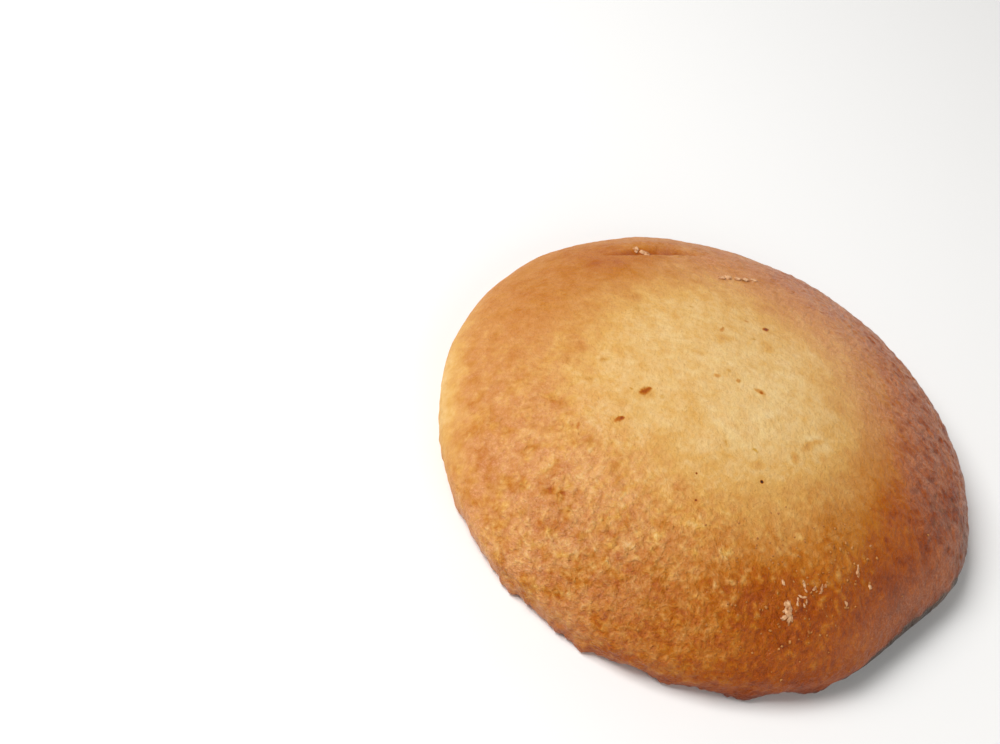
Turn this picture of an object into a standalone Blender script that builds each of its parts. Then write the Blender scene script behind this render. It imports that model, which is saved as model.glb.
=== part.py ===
"""Egg sponge cake: one round, domed sponge, baked free on a flat sheet and whole.

The crown rises from a soft shoulder over a flat base. The foot is tucked in and ragged, one side is
pressed straight, and the crust of the far side has a shallow crease with a lip behind it.

Units are metres. Bearings are degrees, anticlockwise from +X as seen from above.
"""

import math

import bmesh
import bpy
from mathutils import Vector, noise

# Overall size
MEAN_RADIUS = 0.0540
HEIGHT = 0.0260
WIDEST_HEIGHT = 0.0050  # of the shoulder's widest line above the base
FOOT_TUCK = 0.0022  # from the widest line in to the edge of the base

# The crown's profile is this share of a plain parabolic dome, and for the rest an ellipse, which
# rounds the shoulder
DOME_SHARE = 0.38

# The plan's departure from a circle: crests round the rim, their height and the bearing of one
RIM_SWELLS = ((2, 0.00024, 0), (3, 0.00035, 3), (4, 0.00019, 334))

# The side that was pressed straight against a neighbour while warm
PRESSED_BEARING = 325
PRESSED_DEPTH = 0.0022
PRESSED_BLEND = 0.0010

# Batter that crept out under the foot, or missed it: bearing, reach, half-width along the rim
FOOT_LUGS = (
    (209, -0.0007, 0.0022),
    (224, -0.0006, 0.0030),
    (237, 0.0009, 0.0018),
    (253, 0.0010, 0.0042),
    (266, -0.0010, 0.0026),
    (272, 0.0005, 0.0014),
    (288, 0.0015, 0.0038),
    (302.5, 0.0013, 0.0028),
)
LUG_BLUNTNESS = 4  # an even power: 2 ends a lug in a point, more rounds it off broadly
RAGGED_REACH = 0.0006
RAGGED_SPACING = 0.0045
FOOT_HEIGHT = 0.0036  # the lugs and the ragged edge fade out at this height

# The crease where the crust of the far side split and sank, with a lip on its outer side
CREASE_START = Vector((-0.0318, 0.0291))
CREASE_END = Vector((-0.0100, 0.0392))
CREASE_DEPTH = 0.0010
CREASE_HALF_WIDTH = 0.0018
LIP_HEIGHT = 0.0006
LIP_OFFSET = 0.0038
LIP_HALF_WIDTH = 0.0022

# Low swells and wrinkles all over the crust: height and spacing
CRUST_RELIEF = ((0.00035, 0.0150), (0.00012, 0.0055))

# The net of faces: rings from the crown to the widest line, and from there down to the base
CROWN_RINGS = 27
FOOT_RINGS = 5
SHARP_EDGE = math.radians(45)  # edges sharper than this, as round the base, aren't shaded smooth


def rim_radius(bearing):
    """Radius of the widest line at a bearing in radians."""
    radius = MEAN_RADIUS
    for crests, height, crest_bearing in RIM_SWELLS:
        radius += height * math.cos(crests * (bearing - math.radians(crest_bearing)))
    across = math.cos(bearing - math.radians(PRESSED_BEARING))
    if across <= 0.0:
        return radius
    beyond = radius - (MEAN_RADIUS - PRESSED_DEPTH) / across
    return radius - 0.5 * (beyond + math.hypot(beyond, PRESSED_BLEND))


def foot_reach(bearing):
    """How far the foot stands out at the base, from its lugs and its ragged edge."""
    on_rim = Vector((math.cos(bearing), math.sin(bearing), 0.0)) * MEAN_RADIUS
    reach = RAGGED_REACH * noise.noise(on_rim / RAGGED_SPACING)
    for lug_bearing, lug_reach, half_width in FOOT_LUGS:
        turn = math.remainder(bearing - math.radians(lug_bearing), math.tau)
        reach += lug_reach * math.exp(-((turn * MEAN_RADIUS / half_width) ** LUG_BLUNTNESS))
    return reach


def crown_point(ring, bearing):
    """A point of the crown; ring runs from 0 at its top to CROWN_RINGS at the widest line."""
    turn = 0.5 * math.pi * ring / CROWN_RINGS
    rise = DOME_SHARE * math.cos(turn) ** 2 + (1.0 - DOME_SHARE) * math.cos(turn)
    return math.sin(turn) * rim_radius(bearing), WIDEST_HEIGHT + (HEIGHT - WIDEST_HEIGHT) * rise


def foot_point(ring, bearing):
    """A point under the widest line; ring runs from 1 to FOOT_RINGS at the edge of the base."""
    turn = 0.5 * math.pi * ring / FOOT_RINGS
    height = WIDEST_HEIGHT * (1.0 - math.sin(turn))
    low = max(0.0, 1.0 - height / FOOT_HEIGHT)
    radius = rim_radius(bearing) - FOOT_TUCK * (1.0 - math.cos(turn))
    return radius + low * foot_reach(bearing), 0.0 if ring == FOOT_RINGS else height


def place_on_cake(flat, rings):
    """Maps a point of the flat net to the cake: each square ring becomes a round one."""
    ring = round(max(abs(flat.x), abs(flat.y)) * rings)
    if ring == 0:
        return Vector((0.0, 0.0, HEIGHT))
    if abs(flat.x) > abs(flat.y):
        bearing = 0.25 * math.pi * flat.y / flat.x
        turned_back = flat.x < 0
    else:
        bearing = 0.5 * math.pi - 0.25 * math.pi * flat.x / flat.y
        turned_back = flat.y < 0
    if turned_back:
        bearing += math.pi
    if ring <= CROWN_RINGS:
        radius, height = crown_point(ring, bearing)
    else:
        radius, height = foot_point(ring - CROWN_RINGS, bearing)
    return Vector((radius * math.cos(bearing), radius * math.sin(bearing), height))


def crease_relief(point):
    """The crease, which is deepest at its middle, and the lip on its outer side."""
    along = CREASE_END - CREASE_START
    middle = 0.5 * (CREASE_START + CREASE_END)
    outward = Vector((-along.y, along.x)).normalized()
    from_middle = point.xy - middle
    share = 2.0 * from_middle.dot(along) / along.length_squared
    if abs(share) >= 1.0:
        return 0.0
    across = from_middle.dot(outward)
    groove = CREASE_DEPTH * math.exp(-((across / CREASE_HALF_WIDTH) ** 2))
    lip = LIP_HEIGHT * math.exp(-(((across - LIP_OFFSET) / LIP_HALF_WIDTH) ** 2))
    return (1.0 - share * share) * (lip - groove)


def crust_relief(point):
    """Height of the crust above the plain form, fading to nothing at the base."""
    relief = crease_relief(point)
    for height, spacing in CRUST_RELIEF:
        relief += height * noise.noise(point / spacing)
    return relief * min(1.0, point.z / WIDEST_HEIGHT)


def cake_mesh(name):
    """One closed mesh: a net drawn down over the crown to the base, and the flat base closing it."""
    rings = CROWN_RINGS + FOOT_RINGS
    net = bmesh.new()
    bmesh.ops.create_grid(net, x_segments=2 * rings, y_segments=2 * rings, size=1.0)
    for vertex in net.verts:
        vertex.co = place_on_cake(vertex.co, rings)
    net.normal_update()
    for vertex in net.verts:
        vertex.co += vertex.normal * crust_relief(vertex.co)
    bmesh.ops.holes_fill(net, edges=[edge for edge in net.edges if edge.is_boundary], sides=0)
    bmesh.ops.triangulate(net, faces=net.faces, quad_method="SHORT_EDGE")
    bmesh.ops.recalc_face_normals(net, faces=net.faces)
    xs = [vertex.co.x for vertex in net.verts]
    ys = [vertex.co.y for vertex in net.verts]
    centre = Vector((0.5 * (min(xs) + max(xs)), 0.5 * (min(ys) + max(ys)), 0.0))
    bmesh.ops.translate(net, verts=net.verts, vec=-centre)
    mesh = bpy.data.meshes.new(name)
    net.to_mesh(mesh)
    net.free()
    mesh.shade_smooth()
    mesh.set_sharp_from_angle(angle=SHARP_EDGE)
    return mesh


def crust_material():
    """Browned egg sponge: a warm golden brown, a little glossy from the egg and sugar in it."""
    material = bpy.data.materials.new("browned_crust")
    material.use_nodes = True
    surface = material.node_tree.nodes["Principled BSDF"]
    surface.inputs["Base Color"].default_value = (0.56, 0.29, 0.09, 1.0)
    surface.inputs["Roughness"].default_value = 0.45
    surface.inputs["Metallic"].default_value = 0.0
    return material


def main():
    for old in list(bpy.data.objects):
        bpy.data.objects.remove(old, do_unlink=True)
    collection = bpy.data.collections.new("egg_sponge_cake")
    bpy.context.scene.collection.children.link(collection)
    cake = bpy.data.objects.new("cake", cake_mesh("cake"))
    cake.data.materials.append(crust_material())
    collection.objects.link(cake)


main()
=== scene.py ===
import math

import bmesh
import bpy
import numpy as np
from mathutils import Matrix, Vector, noise
from mathutils.bvhtree import BVHTree


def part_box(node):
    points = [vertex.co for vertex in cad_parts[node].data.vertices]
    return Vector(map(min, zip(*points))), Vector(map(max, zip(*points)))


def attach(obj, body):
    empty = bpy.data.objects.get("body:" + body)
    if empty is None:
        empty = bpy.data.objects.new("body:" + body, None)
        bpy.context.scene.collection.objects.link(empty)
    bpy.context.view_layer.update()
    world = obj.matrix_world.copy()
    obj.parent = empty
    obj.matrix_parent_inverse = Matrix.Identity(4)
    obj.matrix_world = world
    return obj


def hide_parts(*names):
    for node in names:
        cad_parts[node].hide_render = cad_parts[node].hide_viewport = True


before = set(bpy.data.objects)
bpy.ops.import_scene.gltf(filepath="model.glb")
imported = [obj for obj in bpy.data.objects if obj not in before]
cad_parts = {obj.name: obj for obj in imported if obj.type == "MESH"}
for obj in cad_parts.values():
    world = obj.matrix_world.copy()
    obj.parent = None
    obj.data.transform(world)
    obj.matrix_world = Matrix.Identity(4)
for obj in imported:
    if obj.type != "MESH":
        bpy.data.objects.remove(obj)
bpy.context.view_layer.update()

# A round egg sponge cake, whole, on a white board under a soft light from the left.
# Lengths are metres unless a name says mm. Bearings are degrees, anticlockwise from +X seen from above.

mm = 0.001
lowCorner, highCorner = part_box("cake")
cakeHeight = highCorner.z
meanRadius = (highCorner.x - lowCorner.x + highCorner.y - lowCorner.y) / 4


# Helpers

def hexColour(text):  # "e4be7e" as seen on a screen, to the linear colour that Blender mixes in
    channels = [int(text[i:i + 2], 16) / 255 for i in (0, 2, 4)]
    return [c / 12.92 if c <= 0.04045 else ((c + 0.055) / 1.055) ** 2.4 for c in channels] + [1.0]


def addNode(tree, kind, inputs=None, **settings):  # a node with its settings, values and links
    node = tree.nodes.new(kind)
    for name, value in settings.items():
        setattr(node, name, value)
    for name, value in (inputs or {}).items():
        if isinstance(value, bpy.types.NodeSocket):
            tree.links.new(value, node.inputs[name])
        else:
            node.inputs[name].default_value = value
    return node


def fromRange(ends):  # the inputs that say where a range of values starts and ends
    return {"From Min": ends[0], "From Max": ends[1]}


def newMaterial(name):
    material = bpy.data.materials.new(name)
    material.use_nodes = True
    material.node_tree.nodes.clear()
    return material


def addPiece(name, mesh, material):
    piece = bpy.data.objects.new(name, mesh)
    bpy.context.scene.collection.objects.link(piece)
    mesh.materials.append(material)
    return piece


def smoothStep(low, high, value):
    share = min(1.0, max(0.0, (value - low) / (high - low)))
    return share * share * (3 - 2 * share)


def angleBetween(bearing, degrees):  # signed turn from a bearing in degrees to one in radians, in degrees
    return math.degrees(math.remainder(bearing - math.radians(degrees), math.tau))


def sideShare(bearing, middle, halfWidth, power=2):  # 1 at the middle of a side, fading to 0 on both sides
    return math.exp(-(angleBetween(bearing, middle) / halfWidth) ** power)


def lumpsAt(point, sizes):  # soft lumps, each of a height and a spacing, added up
    return sum(height * noise.noise(point / spacing) for height, spacing in sizes)


# The cake's plain form

cakeSet = {
    "rings": 154,            # rings of the net, from the crown's top to the edge of the base
    "profileSteps": 2001,    # points at which the profile is measured, to space the rings evenly
    "widestHeight": 5.0 * mm,
    "footTuck": 2.2 * mm,    # from the widest line in to the edge of the base
    "domeShare": 0.38,       # share of the crown's rise that is a plain dome; the rest is an ellipse
    "rimSwells": [(2, 0.24 * mm, 0), (3, 0.35 * mm, 3), (4, 0.19 * mm, 334)],  # crests, height, bearing
    "pressedBearing": 325,
    "pressedDepth": 2.2 * mm,
    "pressedBlend": 1.0 * mm,
    "footHeight": 3.6 * mm,  # the foot's lugs and ragged edge fade out at this height
    "footLugs": [            # bearing, reach, half-width
        (209, -0.7 * mm, 2.2 * mm), (224, -0.6 * mm, 3.0 * mm), (237, 0.9 * mm, 1.8 * mm),
        (253, 1.0 * mm, 4.2 * mm), (266, -1.0 * mm, 2.6 * mm), (272, 0.5 * mm, 1.4 * mm),
        (288, 1.5 * mm, 3.8 * mm), (302.5, 1.3 * mm, 2.8 * mm)],
    "lugBluntness": 4,       # an even power: 2 ends a lug in a point, more rounds it off broadly
    "ragged": [(0.6 * mm, 4.5 * mm), (0.60 * mm, 2.1 * mm), (0.42 * mm, 1.0 * mm)],  # reach and spacing
    "swells": [(0.35 * mm, 15.0 * mm), (0.12 * mm, 5.5 * mm)],  # height and spacing
    "creaseStart": Vector((-31.8, 29.1)) * mm,
    "creaseEnd": Vector((-10.0, 39.2)) * mm,
    "creaseDepth": 1.1 * mm,
    "creaseEdge": (-1.9 * mm, -1.1 * mm),  # across its middle: where its near side starts down, and ends
    "creaseFloor": (-0.7 * mm, 2.2 * mm),  # where its far side starts up, and ends
    "lipHeight": 0.6 * mm,
    "lipOffset": 3.8 * mm,
    "lipHalfWidth": 2.2 * mm,
}


plainHeight = cakeHeight - lumpsAt(Vector((0, 0, cakeHeight)), cakeSet["swells"])  # without the swells


def rimRadius(bearing):
    radius = meanRadius
    for crests, height, crestBearing in cakeSet["rimSwells"]:
        radius += height * math.cos(crests * (bearing - math.radians(crestBearing)))
    across = math.cos(bearing - math.radians(cakeSet["pressedBearing"]))
    if across <= 0:
        return radius
    beyond = radius - (meanRadius - cakeSet["pressedDepth"]) / across
    return radius - (beyond + math.hypot(beyond, cakeSet["pressedBlend"])) / 2


def footReach(bearing):
    onRim = Vector((math.cos(bearing), math.sin(bearing), 0)) * meanRadius
    reach = lumpsAt(onRim, cakeSet["ragged"])
    for lugBearing, lugReach, halfWidth in cakeSet["footLugs"]:
        away = math.radians(angleBetween(bearing, lugBearing)) * meanRadius / halfWidth
        reach += lugReach * math.exp(-away ** cakeSet["lugBluntness"])
    return reach


def profilePoint(stage):  # share of the rim's radius, tuck under the rim and height; stage 0 to 1 to 2
    widest = cakeSet["widestHeight"]
    if stage <= 1:
        turn = stage * math.pi / 2
        rise = cakeSet["domeShare"] * math.cos(turn) ** 2 + (1 - cakeSet["domeShare"]) * math.cos(turn)
        return math.sin(turn), 0.0, widest + (plainHeight - widest) * rise
    turn = (stage - 1) * math.pi / 2
    return 1.0, cakeSet["footTuck"] * (1 - math.cos(turn)), widest * (1 - math.sin(turn))


def evenRings(count):  # stages of the profile a like length apart, so that the net's faces are alike
    stages = np.linspace(0, 2, cakeSet["profileSteps"])
    profile = [profilePoint(stage) for stage in stages]
    points = np.array([(share * meanRadius - tuck, height) for share, tuck, height in profile])
    lengths = np.concatenate([[0], np.cumsum(np.hypot(*np.diff(points, axis=0).T))])
    return np.interp(np.linspace(0, lengths[-1], count + 1), lengths, stages)


def creaseAt(point):  # shares of the crease's depth and of the height of the lip behind it
    start, end = cakeSet["creaseStart"], cakeSet["creaseEnd"]
    along = end - start
    outward = Vector((-along.y, along.x)).normalized()
    fromMiddle = point.xy - (start + end) / 2
    share = 2 * fromMiddle.dot(along) / along.length_squared
    if abs(share) >= 1:
        return 0.0, 0.0
    bow = 1 - share * share
    across = fromMiddle.dot(outward)
    spread = across / max(bow, 0.1)  # both sides of the crease are bowed
    groove = smoothStep(*cakeSet["creaseEdge"], spread) * (1 - smoothStep(*cakeSet["creaseFloor"], spread))
    lip = math.exp(-((across - cakeSet["lipOffset"]) / cakeSet["lipHalfWidth"]) ** 2)
    return bow * groove, bow * lip


# Where the crust is brown, wrinkled or smooth, and where sheen and shade are painted on it. Browning 0 is
# the pale crown, 1 a deep orange brown.

crustSet = {
    "paleCentre": Vector((0.8, -2.4)) * mm,
    "paleShare": 0.28,       # share of the radius out to which the crown is pale
    "brownShare": 0.84,      # share of the radius from which the skin is fully browned
    "paleBrowning": 0.07,
    "sideBrowning": 0.79,
    "sideLean": 0.35,        # more on the side that faced the oven's hotter wall, less on the other
    "hotBearing": 355,
    "tongues": [(0.055, 15.0 * mm), (0.035, 6.0 * mm)],    # of the brown into the pale: share, spacing
    "clouds": [(0.10, 9.0 * mm), (0.10, 3.6 * mm)],        # browning, spacing
    "hotRim": 0.35,          # more browning round the rim on the hot side
    "rimStart": 0.905,       # share of the radius from which the rim's browning and pale strip start
    "paleStrip": (194, 21, 0.37),                          # bearing, half-width, browning taken away
    "footBrowning": 0.45,    # more under the widest line, except under the pale strip
    "paintedFootShade": (333, 27, 1.35),                           # bearing, half-width, browning added as a painted shadow along the foot of the pressed side
    "paintedFootShadeHeight": (7.5 * mm, 5.8 * mm),                # where it starts, and where it is full
    "paintedFootShadeUneven": (0.8 * mm, 3.0 * mm),                # how uneven that is, and spacing
    "paintedFootShadeTaper": 6.0 * mm,                             # bearing, half-width, painted sheen added above the painted foot shade
    "sheenBand": (328, 22, 0.60),                            # bearing, half-width, dryness added above that
    "sheenBandHeight": (10.0 * mm, 3.0 * mm),                # its middle and half its height
    "creaseBrowning": 0.60,
    "patches": [             # place in mm, radius in mm, browning added
        ((11.0, -41.0), 5.0, 0.24), ((20.0, -38.0), 6.0, 0.22),
        ((36.0, -28.0), 6.0, 0.22), ((29.0, -7.0), 9.0, 0.14), ((35.0, 1.0), 8.0, 0.15),
        ((-31.0, 26.0), 9.0, 0.33), ((-44.0, 14.0), 8.0, 0.12), ((-43.0, -19.0), 4.5, -0.10),
        ((10.0, 21.0), 9.0, 0.20), ((0.0, -22.0), 9.0, 0.08), ((13.0, -20.0), 8.0, 0.12),
        ((38.0, -11.0), 9.0, 0.10), ((37.0, -39.0), 6.0, -0.30), ((51.0, -18.0), 3.5, -0.32),
        ((47.0, -5.0), 8.0, 0.27), ((17.0, -50.0), 6.0, 0.15), ((6.0, 30.0), 12.0, -0.06),
        ((-20.0, -33.0), 8.0, -0.10), ((21.0, 25.0), 12.0, -0.17), ((1.0, -37.0), 9.0, -0.20),
        ((-24.0, -49.0), 5.0, -0.14), ((48.0, 6.0), 6.0, -0.10), ((36.0, -19.0), 5.0, -0.18),
        ((-29.0, -19.0), 9.0, -0.12), ((18.0, 3.0), 9.0, 0.12), ((-13.0, 0.0), 9.0, 0.08),
        ((-31.0, -37.0), 9.0, -0.22), ((44.0, -26.0), 9.0, 0.18), ((33.0, -36.0), 3.5, 0.26),
        ((6.0, -51.0), 9.0, -0.10), ((-14.0, -43.0), 9.0, -0.15),
        ((-37.0, 7.0), 9.0, 0.10), ((36.0, 13.0), 9.0, 0.20), ((7.0, 33.0), 9.0, 0.15),
        ((-12.0, -15.0), 9.0, 0.10), ((-3.0, 12.0), 9.0, 0.10)],
    "sides": [               # bearing, half-width, share of the wrinkles and spots added
        (150, 60, -0.75), (322, 26, -0.20), (243, 26, 0.80), (280, 22, 0.25), (40, 40, 0.35)],
    "sheenPatches": [(0.50, 3.4 * mm), (0.50, 1.3 * mm)],    # share and spacing of the patches of painted sheen and glints
    "sheenEdge": (-0.38, 0.22),                              # of its lumps: where it starts, and is full
    "sheenlessSide": (301, 50, 0.94),                          # bearing, half-width, painted sheen taken away
    "sheenPlaces": [           # place in mm, radius in mm, painted sheen added
        ((15.0, 26.0), 12.0, 0.90), ((26.0, 8.0), 11.0, 0.55), ((-6.0, 33.0), 10.0, 0.45)],
    "wrinkleHeight": 0.23 * mm,
    "wrinkleSpacing": 1.2 * mm,
    "runRadius": 42.0 * mm,  # the wrinkles and the patches of painted sheen have their true width at this radius
    "runStretch": 1.7,       # how much longer they are down the slope than across it
    "pitDepth": 0.17 * mm,
    "pitSpacing": 1.35 * mm,
    "pitBrowning": 0.20,
    "pitSide": (15, 50),     # bearing, half-width of the steep side on which the pits lie
    "pitEdge": (0.15, 0.42),                               # of the noise: where a pit starts, and is full
    "pitShift": Vector((7, 3, 5)),                         # of the noise, away from the other patterns'
    "crumbly": [((19.0, -33.0), 13.0), ((9.0, -40.0), 8.0)],         # place in mm, radius in mm
    "crumblyRelief": [(0.22 * mm, 3.0 * mm), (0.14 * mm, 1.4 * mm)],  # height, spacing
    "crumblyPale": 0.55,     # browning taken away where the crumbly skin stands up
    "crumblyEdge": (0.05, 0.5),                            # how far up that starts, and is full
}


def patchShare(point, middle, radius):  # 1 in the middle of a round patch, fading to 0 round it
    away = (point.xy - Vector(middle) * mm).length / (radius * mm)
    return math.exp(-away * away)


def pitAt(point, bearing):  # 0 to 1, how deep in a pit
    lump = noise.noise(point / crustSet["pitSpacing"] + crustSet["pitShift"])
    return sideShare(bearing, *crustSet["pitSide"]) * smoothStep(*crustSet["pitEdge"], lump)


def crumblyAt(point):  # how crumbly the skin is, and its height and how far it stands up there, -1 to 1
    share = max(patchShare(point, *patch) for patch in crustSet["crumbly"])
    standing = noise.noise(point / crustSet["crumblyRelief"][-1][1])
    return share, share * lumpsAt(point, crustSet["crumblyRelief"]), standing


def slopePlace(point, bearing):  # a place for patterns that are longer down the slope than across it
    down = (point.xy.length - point.z) / crustSet["runStretch"]
    return Vector((math.cos(bearing), math.sin(bearing), 0)) * crustSet["runRadius"] + Vector((0, 0, down))


def skinAt(point, bearing):  # browning, how wrinkled the skin is, and how much painted sheen it has
    settings = crustSet

    # from the pale crown out to the brown side
    inner = (point.xy - settings["paleCentre"]).length / meanRadius
    lively = 1.0
    for middle, halfWidth, added in settings["sides"]:
        lively *= 1 + added * sideShare(bearing, middle, halfWidth)
    inner += lumpsAt(point, settings["tongues"]) * min(1.0, lively)
    hot = math.cos(bearing - math.radians(settings["hotBearing"]))
    skin = smoothStep(settings["paleShare"], settings["brownShare"], inner)
    browning = settings["paleBrowning"] + skin * (settings["sideBrowning"] + settings["sideLean"] * hot)
    browning += skin * lumpsAt(point, settings["clouds"]) * min(1.0, lively)

    # the rim and the foot, with painted shade along the foot of the pressed side
    rim = smoothStep(settings["rimStart"], 1.0, point.xy.length / meanRadius)
    browning += settings["hotRim"] * rim * max(0.0, hot)
    middle, halfWidth, paled = settings["paleStrip"]
    strip = rim * sideShare(bearing, middle, halfWidth)
    browning -= paled * strip
    under = smoothStep(0.0, 1.0, 1 - point.z / cakeSet["widestHeight"])
    browning += settings["footBrowning"] * under * (1 - strip)
    # painted shade: the foot of the pressed side is made near black, where its underside lies in shadow
    middle, halfWidth, added = settings["paintedFootShade"]
    footShadeShare = sideShare(bearing, middle, halfWidth, power=4)
    start, full = settings["paintedFootShadeHeight"]
    level = point.z + lumpsAt(point, [settings["paintedFootShadeUneven"]])
    level += settings["paintedFootShadeTaper"] * (1 - footShadeShare)
    browning += added * footShadeShare * smoothStep(-start, -full, -level)

    # patches, the crease, pits and crumbly skin
    for middle, radius, added in settings["patches"]:
        browning += added * patchShare(point, middle, radius)
    browning += settings["creaseBrowning"] * creaseAt(point)[0]
    if point.z < cakeSet["widestHeight"]:
        skin = 1.0
    browning += settings["pitBrowning"] * skin * pitAt(point, bearing)
    crumbly, _, standing = crumblyAt(point)
    browning -= settings["crumblyPale"] * crumbly * skin * smoothStep(*settings["crumblyEdge"], standing)

    # the wrinkles, and the painted sheen and glints on them
    wrinkled = skin * (1 - strip) * lively
    sheenLumps = lumpsAt(slopePlace(point, bearing), settings["sheenPatches"])
    middle, halfWidth, sheenTaken = settings["sheenlessSide"]
    sheenTaken *= sideShare(bearing, middle, halfWidth, power=4)
    sheenAndFilm = min(1.0, wrinkled) * (1 - sheenTaken) * smoothStep(*settings["sheenEdge"], sheenLumps)
    for middle, radius, added in settings["sheenPlaces"]:
        sheenAndFilm += added * patchShare(point, middle, radius)
    middle, halfWidth, added = settings["sheenBand"]
    height, halfHeight = settings["sheenBandHeight"]
    away = (point.z - height) / halfHeight
    sheenAndFilm += added * sideShare(bearing, middle, halfWidth) * math.exp(-away * away)
    return browning, wrinkled, min(1.0, sheenAndFilm)


def skinRelief(point, bearing, wrinkled):
    lump = noise.noise(slopePlace(point, bearing) / crustSet["wrinkleSpacing"])
    relief = crustSet["wrinkleHeight"] * wrinkled * lump
    relief -= crustSet["pitDepth"] * wrinkled * pitAt(point, bearing)
    return relief + crumblyAt(point)[1]


def crustRelief(point):
    groove, lip = creaseAt(point)
    relief = cakeSet["lipHeight"] * lip - cakeSet["creaseDepth"] * groove
    relief += lumpsAt(point, cakeSet["swells"])
    return relief * min(1.0, point.z / cakeSet["widestHeight"])


def netBearing(flat):  # each square ring of the flat net becomes a round one
    if abs(flat.x) > abs(flat.y):
        return math.pi / 4 * flat.y / flat.x + (math.pi if flat.x < 0 else 0)
    if flat.y == 0:
        return 0.0
    return math.pi / 2 - math.pi / 4 * flat.x / flat.y + (math.pi if flat.y < 0 else 0)


def makeCakeMesh():
    rings = cakeSet["rings"]
    stages = evenRings(rings)
    net = bmesh.new()
    bmesh.ops.create_grid(net, x_segments=2 * rings, y_segments=2 * rings, size=1)
    bearings = {}
    for vertex in net.verts:
        ring = round(max(abs(vertex.co.x), abs(vertex.co.y)) * rings)
        bearing = netBearing(vertex.co)
        if bearing not in bearings:
            bearings[bearing] = rimRadius(bearing), footReach(bearing)
        rim, reach = bearings[bearing]
        share, tuck, height = profilePoint(stages[ring])
        low = max(0.0, 1 - height / cakeSet["footHeight"]) if stages[ring] > 1 else 0.0
        radius = share * rim - tuck + low * reach
        vertex.co = (radius * math.cos(bearing), radius * math.sin(bearing), 0 if ring == rings else height)
    net.normal_update()
    layers = [net.verts.layers.float.new(name) for name in ("browning", "wrinkled", "sheenAndFilm")]
    for vertex in net.verts:
        bearing = math.atan2(vertex.co.y, vertex.co.x)
        looks = skinAt(vertex.co, bearing)
        for layer, value in zip(layers, looks):
            vertex[layer] = value
        foot = min(1.0, vertex.co.z / cakeSet["widestHeight"])
        relief = crustRelief(vertex.co) + foot * skinRelief(vertex.co, bearing, looks[1])
        vertex.co += vertex.normal * relief
    bmesh.ops.holes_fill(net, edges=[edge for edge in net.edges if edge.is_boundary], sides=0)
    bmesh.ops.triangulate(net, faces=net.faces, quad_method="SHORT_EDGE")
    bmesh.ops.recalc_face_normals(net, faces=net.faces)
    xs = [vertex.co.x for vertex in net.verts]
    ys = [vertex.co.y for vertex in net.verts]
    middle = Vector((min(xs) + max(xs), min(ys) + max(ys), 0)) / 2
    bmesh.ops.translate(net, verts=net.verts, vec=-middle)
    mesh = bpy.data.meshes.new("cake_crust")
    net.to_mesh(mesh)
    net.free()
    mesh.shade_smooth()
    return mesh


# Browned egg sponge: the skin of a batter of egg, sugar and flour, baked bare. It is a matt pale yellow
# where it dried first and a tight, wrinkled, faintly glossy orange brown where the sugar browned.

crustColours = [  # browning and the colour that goes with it
    (0.00, "e1c38b"), (0.25, "d2a35b"), (0.50, "c28741"), (0.75, "b5701d"),
    # the last two, near black, serve the painted shade along the pressed foot, and the pinholes
    (1.00, "a85a07"), (1.25, "9a4a06"), (1.50, "853b0e"), (2.20, "3c291a"), (3.00, "1e140d")]

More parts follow.
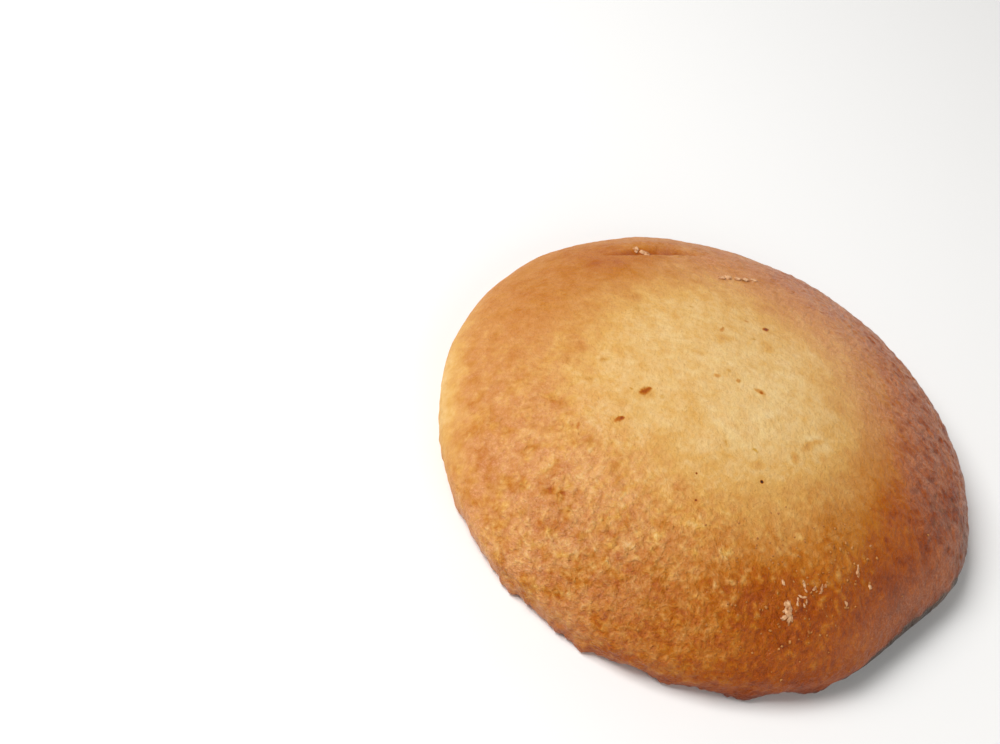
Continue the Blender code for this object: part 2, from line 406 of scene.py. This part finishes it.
crustFinish = {
    "detail": 3.0,                         # of the patterns that have none of their own
    "coarseness": 0.6,
    "mottle": [(3.4, 0.22), (1.3, 0.14)],  # spacing in mm and browning, pale and dark
    "mottleEdge": (0.25, 0.75),            # of the noise: where it is palest, and darkest
    "paleMottle": 0.50,                    # share of the mottle on the pale crown
    "slopeRadius": 42.0,                   # mm, the flecks have their true width at this radius
    "slopeStretch": 1.35,                  # how much longer they are down the slope than across it
    "bendDetail": 2.0,
    "wrinkleSpacing": 0.80,                # mm
    "wrinkleBend": (2.5, 1.2),             # mm, spacing and reach of the bends in the pattern
    "wrinkleEdge": (0.30, 0.70),           # of the noise: the floor of a wrinkle, and its top
    # painted highlight and shade: browning taken from the wrinkles' tops and added in their valleys
    "wrinkleLightAndShade": 0.14,
    "wrinkleHeight": 0.40,                 # mm
    "blisterSpacing": 0.95,                # mm
    "blisterBend": (0.9, 0.5),
    "blisterEdge": (0.1, 0.7),             # its top, and the gap beside it
    "blisterSoftness": 0.7,
    # painted highlight and shade: browning taken from the blisters' tops and added in the gaps between them
    "blisterLightAndShade": 0.155,
    "blisterHeight": 0.17,                 # mm
    "grainSpacing": 0.40,                  # mm, finer in the real crust and drawn as coarse as it shows
    "grainCoarseness": 0.65,
    "grainHeight": 0.24,                   # mm
    "paleBlisters": 0.95,                  # share of the blisters' height on the pale crown
    "tintSpacing": 2.0,                    # mm, of the more orange and pinker spots
    "tintEdge": (0.36, 0.64),
    "paleTint": 0.3,                       # share of the tint on the pale crown
    "orangeTint": "ffeec2",
    "pinkTint": "fff0ec",
    "fleckSpacing": 0.38,                  # mm, of the fine flecks of painted glint and sheen
    "fleckEdge": (0.47, 0.66),
    "fleckDetail": 2.0,
    "sheenAndFilmShare": (0.19, 0.42),             # how much of the pale pink sheen colour shows, between flecks and in them
    # pale pink: painted sheen and glints on the skin, and a paler fleck colour of the base's own
    "sheenAndFilmColour": "eab08a",
    "paleRoughness": 0.60,
    "brownRoughness": 0.30,
    "refraction": 1.45,
    "gloss": 0.17,                         # weak, as the skin is full of fine pores
    "baseHeight": 0.05,                    # mm, the base is what lies lower
    "baseLooks": (1.10, 0.60, 0.35, 0.0),  # its browning, how wrinkled it is, how much of the pale pink fleck colour it has, and how olive
    "oliveColour": "e2ca7e",               # what the light is left with in an olive spot
    "spotBend": (1.3, 1.1),                # mm, spacing and reach of the bends in the spots' outlines
    "speckEdge": (0.25, 1.25),             # shares of the half-size at which it is full, and gone
    "stainEdge": (-0.3, 1.5),
    "oliveEdge": (0.0, 1.3),
    "specks": [  # place in mm, half-length and half-width in mm, turn in degrees, browning added
        ((-17.3, -10.1), (1.20, 0.75), 48, 0.95), ((-16.7, -9.4), (0.60, 0.40), 10, 0.45),
        ((-20.3, -17.3), (0.95, 0.60), 35, 0.75), ((-19.8, -17.1), (0.50, 0.40), 35, 0.60),
        ((3.2, -2.6), (1.35, 0.60), -8, 0.42), ((3.6, -2.8), (0.50, 0.35), -8, 0.55),
        ((-5.3, -2.3), (0.75, 0.60), 0, 0.38), ((-1.1, -1.7), (0.60, 0.50), 60, 0.42),
        ((-5.8, 10.7), (0.75, 0.50), 80, 0.42), ((2.7, 15.2), (0.60, 0.50), 30, 1.60),
        ((-1.3, 15.6), (0.55, 0.35), 0, 0.32), ((-27.0, -20.3), (0.80, 0.42), 105, 0.50),
        ((-28.1, -32.7), (0.85, 0.50), 105, 0.45), ((-25.9, -33.1), (0.70, 0.55), 0, 0.45),
        ((19.4, -37.7), (0.55, 0.45), 0, 0.55), ((33.2, -19.1), (0.80, 0.60), 20, 0.35),
        ((44.4, -11.5), (0.60, 0.40), 60, 0.35), ((47.5, -11.2), (0.60, 0.40), 60, 0.40)],
    "stains": [  # the same, larger and softer
        ((14.2, -10.3), (1.60, 1.00), 55, 0.38), ((15.6, -8.4), (1.80, 0.80), 30, 0.32),
        ((12.1, -13.9), (1.30, 1.00), 100, 0.38), ((5.6, -18.3), (1.60, 1.00), 30, 0.22),
        ((-16.9, -10.6), (2.00, 1.40), 40, 0.22), ((-28.5, -33.0), (1.60, 1.20), 0, 0.30),
        ((-4.8, 8.4), (1.80, 1.10), 20, 0.18), ((3.7, 10.3), (1.20, 2.00), 10, 0.22),
        ((-30.5, -2.0), (1.60, 2.40), 10, 0.25), ((-31.2, -16.3), (1.40, 2.00), 20, 0.25),
        ((-24.0, 14.0), (2.20, 1.60), 30, 0.20), ((-12.7, 24.0), (1.80, 1.00), 10, 0.22)],
    "olives": [  # the same, with how olive it is in place of browning
        ((-3.2, -0.2), (0.55, 0.45), 0, 0.80), ((-14.1, -10.4), (0.60, 0.50), 0, 0.60),
        ((-9.1, 2.2), (0.90, 0.70), 0, 0.35), ((4.5, -15.6), (1.00, 0.45), -20, 1.10),
        ((-0.9, -16.4), (1.00, 0.50), -55, 0.80), ((0.6, 11.0), (0.45, 0.35), 0, 0.90),
        ((-12.5, 15.0), (0.60, 0.30), 15, 0.70), ((-13.4, 4.9), (2.40, 0.45), 12, 0.30),
        ((-25.7, -4.5), (1.20, 0.80), 20, 0.80), ((-19.2, -27.9), (1.60, 1.00), 10, 0.50),
        ((-22.7, 10.7), (1.40, 1.00), 10, 0.50), ((-24.5, -22.8), (0.70, 0.90), 0, 0.50),
        ((-27.5, -9.8), (0.90, 0.70), 0, 0.60), ((-34.6, -21.2), (1.40, 0.60), 0, 0.50),
        ((-32.3, -5.9), (0.80, 1.30), 10, 0.60), ((-19.7, -10.3), (0.35, 0.30), 0, 1.30),
        ((-37.2, -17.8), (1.20, 0.70), 0, 0.40), ((-42.8, -11.7), (1.00, 0.80), 0, 0.35)],
    "pinholes": [  # place in mm, radius in mm, browning added
        ((7.0, -21.2), 0.36, 2.6), ((-4.7, -24.0), 0.22, 1.6), ((-3.6, -28.8), 0.22, 1.5)],
}


def addSlopePlace(tree, place):  # as slopePlace, for patterns that are longer down the slope
    parts = addNode(tree, "ShaderNodeSeparateXYZ", {"Vector": place}).outputs
    level = addNode(tree, "ShaderNodeCombineXYZ", {"X": parts["X"], "Y": parts["Y"]}).outputs[0]
    radius = addNode(tree, "ShaderNodeVectorMath", {0: level}, operation="LENGTH").outputs["Value"]
    down = addNode(tree, "ShaderNodeMath", {0: radius, 1: parts["Z"]}, operation="SUBTRACT").outputs[0]
    shortened = addNode(tree, "ShaderNodeMath", {
        0: down, 1: 1 / crustFinish["slopeStretch"]}, operation="MULTIPLY").outputs[0]
    outward = addNode(tree, "ShaderNodeVectorMath", {0: level}, operation="NORMALIZE").outputs[0]
    onRim = addNode(tree, "ShaderNodeVectorMath", {
        0: outward, "Scale": crustFinish["slopeRadius"] * mm}, operation="SCALE").outputs[0]
    lift = addNode(tree, "ShaderNodeCombineXYZ", {"Z": shortened}).outputs[0]
    return addNode(tree, "ShaderNodeVectorMath", {0: onRim, 1: lift}).outputs[0]


def addBend(tree, place, spacing, reach):  # the place, bent to and fro to make a pattern on it uneven
    bent = addNode(tree, "ShaderNodeTexNoise", {
        "Vector": place, "Scale": 1 / (spacing * mm), "Detail": crustFinish["bendDetail"]})
    bend = addNode(tree, "ShaderNodeVectorMath", {
        0: bent.outputs["Color"], 1: (0.5, 0.5, 0.5)}, operation="SUBTRACT")  # the noise's middle
    bend = addNode(tree, "ShaderNodeVectorMath", {
        0: bend.outputs[0], "Scale": reach * mm}, operation="SCALE")
    return addNode(tree, "ShaderNodeVectorMath", {0: place, 1: bend.outputs[0]}).outputs[0]


def addSpot(tree, place, middle, halfSizes, turn, edge, added, value):  # adds a soft spot to a value
    spot = addNode(tree, "ShaderNodeMapping", {
        "Vector": place, "Location": (middle[0] * mm, middle[1] * mm, 0),
        "Rotation": (0, 0, math.radians(turn)),
        "Scale": (halfSizes[0] * mm, halfSizes[1] * mm, 1)}, vector_type="TEXTURE")
    away = addNode(tree, "ShaderNodeVectorMath", {0: spot.outputs["Vector"]}, operation="LENGTH")
    depth = addNode(tree, "ShaderNodeMapRange", {
        "Value": away.outputs["Value"], **fromRange(edge),
        "To Min": added, "To Max": 0.0}, interpolation_type="SMOOTHSTEP")
    return addNode(tree, "ShaderNodeMath", {0: value, 1: depth.outputs["Result"]}).outputs[0]


def addSpots(tree, place, browning):  # the browning with specks, stains and pinholes, and the olive spots
    finish = crustFinish
    spotPlace = addBend(tree, place, *finish["spotBend"])
    for spots, edge in ((finish["specks"], finish["speckEdge"]), (finish["stains"], finish["stainEdge"])):
        for middle, halfSizes, turn, added in spots:
            browning = addSpot(tree, spotPlace, middle, halfSizes, turn, edge, added, browning)
    for middle, radius, added in finish["pinholes"]:
        browning = addSpot(tree, place, middle, (radius, radius), 0, finish["speckEdge"], added, browning)
    olive = 0.0
    for middle, halfSizes, turn, added in finish["olives"]:
        olive = addSpot(tree, spotPlace, middle, halfSizes, turn, finish["oliveEdge"], added, olive)
    return browning, olive


def addRelief(tree, place, wrinkled, wrinkles, blisters):  # of fine grain, blisters and wrinkles
    finish = crustFinish
    grain = addNode(tree, "ShaderNodeTexNoise", {
        "Vector": place, "Scale": 1 / (finish["grainSpacing"] * mm),
        "Detail": finish["detail"], "Roughness": finish["grainCoarseness"]})
    blisterShare = addNode(tree, "ShaderNodeMapRange", {
        "Value": wrinkled, "To Min": -finish["paleBlisters"] * finish["blisterHeight"],
        "To Max": -finish["blisterHeight"]}, clamp=False).outputs["Result"]
    wrinkleShare = addNode(tree, "ShaderNodeMath", {
        0: wrinkled, 1: finish["wrinkleHeight"]}, operation="MULTIPLY").outputs[0]
    relief = addNode(tree, "ShaderNodeMath", {
        0: grain.outputs["Fac"], 1: finish["grainHeight"]}, operation="MULTIPLY").outputs[0]
    patterns = (blisters.outputs["Distance"], blisterShare), (wrinkles.outputs["Fac"], wrinkleShare)
    for pattern, share in patterns:
        relief = addNode(tree, "ShaderNodeMath", {
            0: pattern, 1: share, 2: relief}, operation="MULTIPLY_ADD").outputs[0]
    bump = addNode(tree, "ShaderNodeBump", {"Height": relief, "Distance": mm, "Strength": 1.0})
    return bump.outputs["Normal"]


def makeCrustMaterial():
    finish = crustFinish
    material = newMaterial("browned egg sponge crust")
    tree = material.node_tree
    place = addNode(tree, "ShaderNodeTexCoord").outputs["Object"]
    browning, wrinkled, sheenAndFilm = [
        addNode(tree, "ShaderNodeAttribute", attribute_name=name).outputs["Fac"]
        for name in ("browning", "wrinkled", "sheenAndFilm")]
    browning, olive = addSpots(tree, place, browning)

    # the base, which lay on the sheet, is evenly brown
    height = addNode(tree, "ShaderNodeSeparateXYZ", {"Vector": place}).outputs["Z"]
    atBase = addNode(tree, "ShaderNodeMath", {
        0: height, 1: finish["baseHeight"] * mm}, operation="LESS_THAN").outputs[0]
    browning, wrinkled, sheenAndFilm, olive = [
        addNode(tree, "ShaderNodeMix", {"Factor": atBase, 2: value, 3: baseValue}).outputs[0]
        for value, baseValue in zip((browning, wrinkled, sheenAndFilm, olive), finish["baseLooks"])]

    mottled = addNode(tree, "ShaderNodeMapRange", {
        "Value": wrinkled, "To Min": finish["paleMottle"]}, clamp=False).outputs["Result"]
    for spacing, depth in finish["mottle"]:
        mottle = addNode(tree, "ShaderNodeTexNoise", {
            "Vector": place, "Scale": 1 / (spacing * mm),
            "Detail": finish["detail"], "Roughness": finish["coarseness"]})
        lift = addNode(tree, "ShaderNodeMapRange", {
            "Value": mottle.outputs["Fac"], **fromRange(finish["mottleEdge"]),
            "To Min": -depth, "To Max": depth}, clamp=False)
        browning = addNode(tree, "ShaderNodeMath", {
            0: lift.outputs["Result"], 1: mottled, 2: browning}, operation="MULTIPLY_ADD").outputs[0]

    # fine wrinkles and blisters: painted highlight makes their tops paler and painted shade makes the brown
    # between them deeper, on top of the bump's own shading
    wrinkles = addNode(tree, "ShaderNodeTexNoise", {
        "Vector": addBend(tree, place, *finish["wrinkleBend"]),
        "Scale": 1 / (finish["wrinkleSpacing"] * mm),
        "Detail": finish["detail"], "Roughness": finish["coarseness"]})
    blisters = addNode(tree, "ShaderNodeTexVoronoi", {
        "Vector": addBend(tree, place, *finish["blisterBend"]),
        "Scale": 1 / (finish["blisterSpacing"] * mm),
        "Smoothness": finish["blisterSoftness"]}, feature="SMOOTH_F1")
    wrinkleShade = addNode(tree, "ShaderNodeMapRange", {
        "Value": wrinkles.outputs["Fac"], **fromRange(finish["wrinkleEdge"]),
        "To Min": finish["wrinkleLightAndShade"], "To Max": -finish["wrinkleLightAndShade"]}, clamp=False)
    blisterShade = addNode(tree, "ShaderNodeMapRange", {
        "Value": blisters.outputs["Distance"], **fromRange(finish["blisterEdge"]),
        "To Min": -finish["blisterLightAndShade"] / 2, "To Max": finish["blisterLightAndShade"] / 2})
    reliefLightAndShade = addNode(tree, "ShaderNodeMath", {
        0: wrinkleShade.outputs["Result"], 1: blisterShade.outputs["Result"]}).outputs[0]
    browning = addNode(tree, "ShaderNodeMath", {
        0: reliefLightAndShade, 1: wrinkled, 2: browning}, operation="MULTIPLY_ADD").outputs[0]

    topBrowning = crustColours[-1][0]
    share = addNode(tree, "ShaderNodeMath", {
        0: browning, 1: 1 / topBrowning}, operation="MULTIPLY").outputs[0]
    ramp = addNode(tree, "ShaderNodeValToRGB", {"Fac": share})
    while len(ramp.color_ramp.elements) < len(crustColours):
        ramp.color_ramp.elements.new(0.5)
    for element, (level, colour) in zip(ramp.color_ramp.elements, crustColours):
        element.position = level / topBrowning
        element.color = hexColour(colour)

    tintNoise = addNode(tree, "ShaderNodeTexNoise", {
        "Vector": place, "Scale": 1 / (finish["tintSpacing"] * mm),
        "Detail": finish["detail"], "Roughness": finish["coarseness"]})
    tintShare = addNode(tree, "ShaderNodeMapRange", {
        "Value": tintNoise.outputs["Fac"], **fromRange(finish["tintEdge"])})
    tint = addNode(tree, "ShaderNodeMix", {
        "Factor": tintShare.outputs["Result"], 6: hexColour(finish["orangeTint"]),
        7: hexColour(finish["pinkTint"])}, data_type="RGBA")
    tinted = addNode(tree, "ShaderNodeMapRange", {"Value": wrinkled, "To Min": finish["paleTint"]})
    colour = addNode(tree, "ShaderNodeMix", {
        "Factor": tinted.outputs["Result"], 6: ramp.outputs["Color"], 7: tint.outputs[2]},
        data_type="RGBA", blend_type="MULTIPLY")

    # painted sheen and glints: in patches, and in fine flecks that run down the slope, the skin is mixed
    # towards a pale pink; on the base the same mix is a fleck colour of its own
    flecks = addNode(tree, "ShaderNodeTexNoise", {
        "Vector": addSlopePlace(tree, place), "Scale": 1 / (finish["fleckSpacing"] * mm),
        "Detail": finish["fleckDetail"], "Roughness": finish["coarseness"]})
    fleckedSheen = addNode(tree, "ShaderNodeMapRange", {
        "Value": flecks.outputs["Fac"], **fromRange(finish["fleckEdge"]),
        "To Min": finish["sheenAndFilmShare"][0], "To Max": finish["sheenAndFilmShare"][1]},
        interpolation_type="SMOOTHSTEP")
    sheenMix = addNode(tree, "ShaderNodeMath", {
        0: fleckedSheen.outputs["Result"], 1: sheenAndFilm}, operation="MULTIPLY").outputs[0]
    colour = addNode(tree, "ShaderNodeMix", {
        "Factor": sheenMix, 6: colour.outputs[2], 7: hexColour(finish["sheenAndFilmColour"])}, data_type="RGBA")
    colour = addNode(tree, "ShaderNodeMix", {
        "Factor": olive, 6: colour.outputs[2], 7: hexColour(finish["oliveColour"])},
        data_type="RGBA", blend_type="MULTIPLY")

    roughness = addNode(tree, "ShaderNodeMapRange", {
        "Value": wrinkled, "To Min": finish["paleRoughness"], "To Max": finish["brownRoughness"]})
    surface = addNode(tree, "ShaderNodeBsdfPrincipled", {
        "Base Color": colour.outputs[2], "Roughness": roughness.outputs["Result"],
        "IOR": finish["refraction"], "Specular IOR Level": finish["gloss"],
        "Normal": addRelief(tree, place, wrinkled, wrinkles, blisters)})
    addNode(tree, "ShaderNodeOutputMaterial", {"Surface": surface.outputs["BSDF"]})
    return material


cake = addPiece("cake_crust", makeCakeMesh(), makeCrustMaterial())
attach(cake, "root")
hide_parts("cake")
print("cake made,", len(cake.data.polygons), "triangles")


# Loose crumbs on the cake, and flakes of its pale skin: place in mm, half-length in mm, slimness, turn

looseSet = {
    "flakes": [
        ((17.1, -39.1), 0.85, 0.7, 80), ((17.5, -40.1), 1.05, 0.65, 100), ((18.0, -40.8), 0.85, 0.6, 70),
        ((17.1, -41.2), 0.60, 0.6, 50), ((18.5, -40.9), 0.50, 0.6, 120), ((16.8, -40.2), 0.40, 0.6, 20),
        ((18.7, -38.4), 0.42, 0.4, 75), ((18.6, -37.6), 0.42, 0.4, 100), ((19.0, -37.0), 0.42, 0.4, 145),
        ((19.7, -36.8), 0.42, 0.4, 5), ((20.2, -37.3), 0.42, 0.4, 70), ((20.1, -38.0), 0.38, 0.4, 110),
        ((19.0, -34.9), 0.70, 0.35, 100), ((19.6, -35.7), 0.40, 0.4, 130), ((15.2, -36.3), 0.55, 0.45, 95),
        ((21.1, -34.6), 0.45, 0.6, 30), ((22.4, -33.9), 0.50, 0.5, 60), ((23.0, -33.4), 0.40, 0.6, 100),
        ((22.5, -34.6), 0.42, 0.5, 20), ((28.7, -28.0), 0.85, 0.40, 80), ((28.4, -27.2), 0.40, 0.6, 60),
        ((31.8, -28.7), 0.50, 0.6, 100), ((27.7, -34.1), 0.50, 0.6, 90), ((30.0, -22.1), 0.30, 0.6, 0),
        ((-25.1, 33.8), 0.70, 0.8, 0), ((-23.7, 33.7), 0.60, 0.8, 60), ((-22.7, 33.4), 0.75, 0.7, 30),
        ((-18.3, 33.9), 0.65, 0.8, 120),
        ((-7.4, 29.0), 0.70, 0.9, 20), ((-6.0, 30.1), 0.75, 0.9, 20), ((-3.9, 30.6), 0.70, 0.8, 10),
        ((-2.4, 31.4), 0.75, 0.9, 30), ((-0.5, 32.5), 0.65, 0.9, 0)],
    "crumbs": [
        ((25.0, -24.4), 0.42, 0.8, 0), ((22.7, -26.5), 0.35, 0.8, 0), ((24.1, -26.2), 0.38, 0.7, 90),
        ((26.4, -24.6), 0.42, 0.7, 40), ((29.9, -24.8), 0.38, 0.8, 0), ((31.9, -23.3), 0.36, 0.8, 60),
        ((27.4, -27.1), 0.30, 0.8, 0), ((26.8, -30.5), 0.32, 0.8, 0), ((28.6, -30.0), 0.28, 0.8, 0),
        ((31.4, -28.2), 0.34, 0.8, 0), ((27.7, -34.7), 0.32, 0.8, 0), ((29.7, -33.4), 0.26, 0.8, 0),
        ((15.3, -43.9), 0.34, 0.8, 0), ((19.4, -43.9), 0.40, 0.8, 90), ((18.2, -45.0), 0.30, 0.8, 0),
        ((22.1, -41.3), 0.42, 0.7, 80), ((20.3, -48.5), 0.26, 0.8, 0), ((22.3, -45.5), 0.22, 0.8, 0),
        ((16.7, -42.8), 0.28, 0.8, 0), ((13.5, -47.7), 0.26, 0.8, 0), ((4.2, -47.0), 0.28, 0.7, 80),
        ((6.6, -43.1), 0.36, 0.7, 90), ((7.3, -43.1), 0.34, 0.7, 80), ((8.0, -42.9), 0.30, 0.8, 0),
        ((7.1, -44.1), 0.28, 0.8, 0), ((8.9, -44.1), 0.26, 0.8, 0), ((7.0, -47.0), 0.28, 0.8, 0),
        ((13.4, -41.0), 0.40, 0.8, 0), ((20.6, -35.6), 0.34, 0.6, 20), ((21.6, -34.9), 0.34, 0.6, 40),
        ((41.8, -12.9), 0.30, 0.8, 0)],
    "dustCount": 110,                             # the finest crumbs, in a drift over the front right
    "dustMiddle": (18.0, -36.0),                  # mm
    "dustSpread": 8.0,                            # mm
    "dustSize": (0.15, 0.28),                     # mm, least and greatest half-length
    "dustSlimness": 0.75,
    "dustSeed": 11,
    "size": {"flakes": 0.95, "crumbs": 0.80},     # share of the listed half-length
    "sink": {"flakes": 0.55, "crumbs": 0.50},     # share of its half-height that one sinks into the skin
    "height": {"flakes": 0.32, "crumbs": 0.75},   # share of its half-width
    "roughen": {"flakes": 0.9, "crumbs": 0.7},    # how lumpy one is
    "detail": {"flakes": 3, "crumbs": 2},         # of the ball that one is made from
    "lumpScale": 1.4,                             # lumps to the ball's radius
    "lumpFloor": -0.6,                            # how deep the hollows between them go at most
    "lumpOctaves": 3,
}


def loosePlaces(kind):
    places = list(looseSet[kind])
    if kind == "crumbs":
        draw = np.random.default_rng(looseSet["dustSeed"])
        for _ in range(looseSet["dustCount"]):
            x, y = draw.normal(looseSet["dustMiddle"], looseSet["dustSpread"])
            size, turn = draw.uniform(*looseSet["dustSize"]), draw.uniform(0, 180)
            places.append(((x, y), size, looseSet["dustSlimness"], turn))
    return places


def makeLooseMesh(kind):  # each one lies on the skin where a line straight down meets it
    skin = BVHTree.FromPolygons(
        [vertex.co for vertex in cake.data.vertices], [list(face.vertices) for face in cake.data.polygons])
    net = bmesh.new()
    for number, ((x, y), halfLength, slimness, turn) in enumerate(loosePlaces(kind)):
        hit, normal = skin.ray_cast(Vector((x * mm, y * mm, 2 * cakeHeight)), Vector((0, 0, -1)))[:2]
        if hit is None:
            continue
        made = bmesh.ops.create_icosphere(net, subdivisions=looseSet["detail"][kind], radius=1)["verts"]
        for vertex in made:
            lumpPlace = vertex.co * looseSet["lumpScale"] + Vector((number * 5, 0, 0))  # no two are alike
            lump = noise.fractal(lumpPlace, 1.0, 2.0, looseSet["lumpOctaves"])
            vertex.co *= 1 + looseSet["roughen"][kind] * max(looseSet["lumpFloor"], lump)
        length = halfLength * looseSet["size"][kind] * mm
        height = length * slimness * looseSet["height"][kind]
        shape = Matrix.Diagonal((length, length * slimness, height, 1))
        lie = normal.to_track_quat("Z", "Y").to_matrix().to_4x4()
        place = Matrix.Translation(hit + normal * height * (1 - looseSet["sink"][kind]))
        bmesh.ops.transform(
            net, verts=made, matrix=place @ lie @ Matrix.Rotation(math.radians(turn), 4, "Z") @ shape)
    mesh = bpy.data.meshes.new(kind)
    net.to_mesh(mesh)
    net.free()
    mesh.shade_smooth()
    return mesh


# Crumbs are dry sponge torn from under the skin, matt and golden. Flakes are bits of the skin itself,
# thin, dry and paler where the light comes through them.

looseFinish = {
    "crumbs": ("a4622a", "c08447"),  # dark and light patches
    "flakes": ("b07040", "dfb083"),
    "patchSpacing": 0.9,             # mm
    "patchEdge": (0.35, 0.62),       # of the noise: all dark below the first, all light above the second
    "poreSpacing": 0.25,             # mm
    "poreDepth": 0.10,               # mm
    "detail": 2.0,
    "roughness": 0.75,
    "gloss": 0.3,
}


def makeLooseMaterial(kind):
    finish = looseFinish
    material = newMaterial("dry sponge " + kind)
    tree = material.node_tree
    place = addNode(tree, "ShaderNodeTexCoord").outputs["Object"]
    patches, pores = [
        addNode(tree, "ShaderNodeTexNoise", {
            "Vector": place, "Scale": 1 / (spacing * mm), "Detail": finish["detail"]}).outputs["Fac"]
        for spacing in (finish["patchSpacing"], finish["poreSpacing"])]
    ramp = addNode(tree, "ShaderNodeValToRGB", {"Fac": patches})
    for element, position, colour in zip(ramp.color_ramp.elements, finish["patchEdge"], finish[kind]):
        element.position = position
        element.color = hexColour(colour)
    bump = addNode(tree, "ShaderNodeBump", {"Height": pores, "Distance": finish["poreDepth"] * mm})
    surface = addNode(tree, "ShaderNodeBsdfPrincipled", {
        "Base Color": ramp.outputs["Color"], "Roughness": finish["roughness"],
        "Specular IOR Level": finish["gloss"], "Normal": bump.outputs["Normal"]})
    addNode(tree, "ShaderNodeOutputMaterial", {"Surface": surface.outputs["BSDF"]})
    return material


for kind in ("crumbs", "flakes"):
    loose = addPiece(kind, makeLooseMesh(kind), makeLooseMaterial(kind))
    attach(loose, "root")
    print(kind, "made,", len(loose.data.polygons), "triangles")


# The stage: a white board in a room with pale walls and a dark ceiling. A bright backdrop stands behind
# the cake to the right, a soft light high on the left and a weak one low in front.

stageSet = {
    "boardSide": 4.0,
    "boardColour": "f4f3f1",
    "boardRoughness": 0.9,
    "boardGloss": 0.1,
    "skyColour": "ffffff",
    "ceilingStrength": 0.06,
    "wallStrength": 0.46,                     # more than the ceiling
    "wallTop": (0.75, 0.2),                   # sines of the heights: the walls have faded out, and start to
    "backdropStrength": 0.85,                 # more than the walls
    "backdropWay": (0.50, 0.87, 0.0),
    "backdropEdge": (0.1, 0.8),               # cosines of the turns from it at which it ends, and is full
    "keyFrom": Vector((-0.59, -0.09, 0.80)),  # direction of the soft light from the cake
    "keyDistance": 0.75,
    "keySide": 0.40,
    "keyPower": 6.05,
    "fillFrom": Vector((0.50, -0.70, 0.50)),
    "fillDistance": 0.90,
    "fillSide": 0.50,
    "fillPower": 1.8,
}


def makeBoard():
    net = bmesh.new()
    bmesh.ops.create_grid(net, x_segments=1, y_segments=1, size=stageSet["boardSide"] / 2)
    mesh = bpy.data.meshes.new("board")
    net.to_mesh(mesh)
    net.free()
    material = newMaterial("matt white board")
    surface = addNode(material.node_tree, "ShaderNodeBsdfPrincipled", {
        "Base Color": hexColour(stageSet["boardColour"]), "Roughness": stageSet["boardRoughness"],
        "Specular IOR Level": stageSet["boardGloss"]})
    addNode(material.node_tree, "ShaderNodeOutputMaterial", {"Surface": surface.outputs["BSDF"]})
    return addPiece("board", mesh, material)


def makeSky():
    world = bpy.data.worlds.new("studio")
    world.use_nodes = True
    world.node_tree.nodes.clear()
    tree = world.node_tree
    way = addNode(tree, "ShaderNodeTexCoord").outputs["Generated"]
    height = addNode(tree, "ShaderNodeSeparateXYZ", {"Vector": way}).outputs["Z"]
    toBackdrop = addNode(tree, "ShaderNodeVectorMath", {
        0: way, 1: stageSet["backdropWay"]}, operation="DOT_PRODUCT")
    walls = stageSet["wallStrength"]
    behind = addNode(tree, "ShaderNodeMapRange", {
        "Value": toBackdrop.outputs["Value"], **fromRange(stageSet["backdropEdge"]),
        "To Min": walls, "To Max": walls + stageSet["backdropStrength"]}, interpolation_type="SMOOTHSTEP")
    low = addNode(tree, "ShaderNodeMapRange", {
        "Value": height, **fromRange(stageSet["wallTop"])}, interpolation_type="SMOOTHSTEP")
    strength = addNode(tree, "ShaderNodeMath", {
        0: behind.outputs["Result"], 1: low.outputs["Result"], 2: stageSet["ceilingStrength"]},
        operation="MULTIPLY_ADD")
    sky = addNode(tree, "ShaderNodeBackground", {
        "Color": hexColour(stageSet["skyColour"]), "Strength": strength.outputs[0]})
    addNode(tree, "ShaderNodeOutputWorld", {"Surface": sky.outputs["Background"]})
    bpy.context.scene.world = world


def makeSoftbox(name, way, distance, side, power):
    lamp = bpy.data.lights.new(name, "AREA")
    lamp.shape = "SQUARE"
    lamp.size = side
    lamp.energy = power
    softbox = bpy.data.objects.new(name, lamp)
    softbox.location = way.normalized() * distance
    softbox.rotation_euler = way.to_track_quat("Z", "Y").to_euler()
    softbox.visible_glossy = name == "keyLight"  # only the key light shows in the skin's gloss
    bpy.context.scene.collection.objects.link(softbox)


makeBoard()
makeSky()
for kind in ("key", "fill"):
    makeSoftbox(kind + "Light", *[stageSet[kind + part] for part in ("From", "Distance", "Side", "Power")])
print("stage set")


# The camera stands as the photograph shows the cake from its own base, which leans in the picture

cameraSet = {
    "elevation": 48.0,
    "roll": 19.37,                              # the cake's base turned clockwise in the picture
    "distance": 0.2697,                         # to the point that the middle of the picture shows
    "middle": Vector((-0.0434, -0.0051, 0.01)),
    "focalPixels": 1400.0,                      # focal length, in pixels of the 1000 x 744 picture
    "pictureWidth": 1000.0,
    "sensorWidth": 36.0,                        # mm
    "clipStart": 0.01,
}


def makeCamera():
    tilt = math.radians(cameraSet["elevation"])
    roll = math.radians(cameraSet["roll"])
    ahead = Vector((0, math.cos(tilt), -math.sin(tilt)))
    level = Vector((1, 0, 0))
    upright = level.cross(ahead)
    right = level * math.cos(roll) + upright * math.sin(roll)
    up = upright * math.cos(roll) - level * math.sin(roll)
    lens = bpy.data.cameras.new("camera")
    lens.sensor_width = cameraSet["sensorWidth"]
    lens.lens = cameraSet["sensorWidth"] * cameraSet["focalPixels"] / cameraSet["pictureWidth"]
    lens.clip_start = cameraSet["clipStart"]
    camera = bpy.data.objects.new("camera", lens)
    turn = Matrix((right, up, -ahead)).transposed().to_4x4()
    camera.matrix_world = Matrix.Translation(cameraSet["middle"] - ahead * cameraSet["distance"]) @ turn
    bpy.context.scene.collection.objects.link(camera)
    bpy.context.scene.camera = camera


makeCamera()
bpy.context.scene.view_settings.view_transform = "Standard"
print("camera placed")
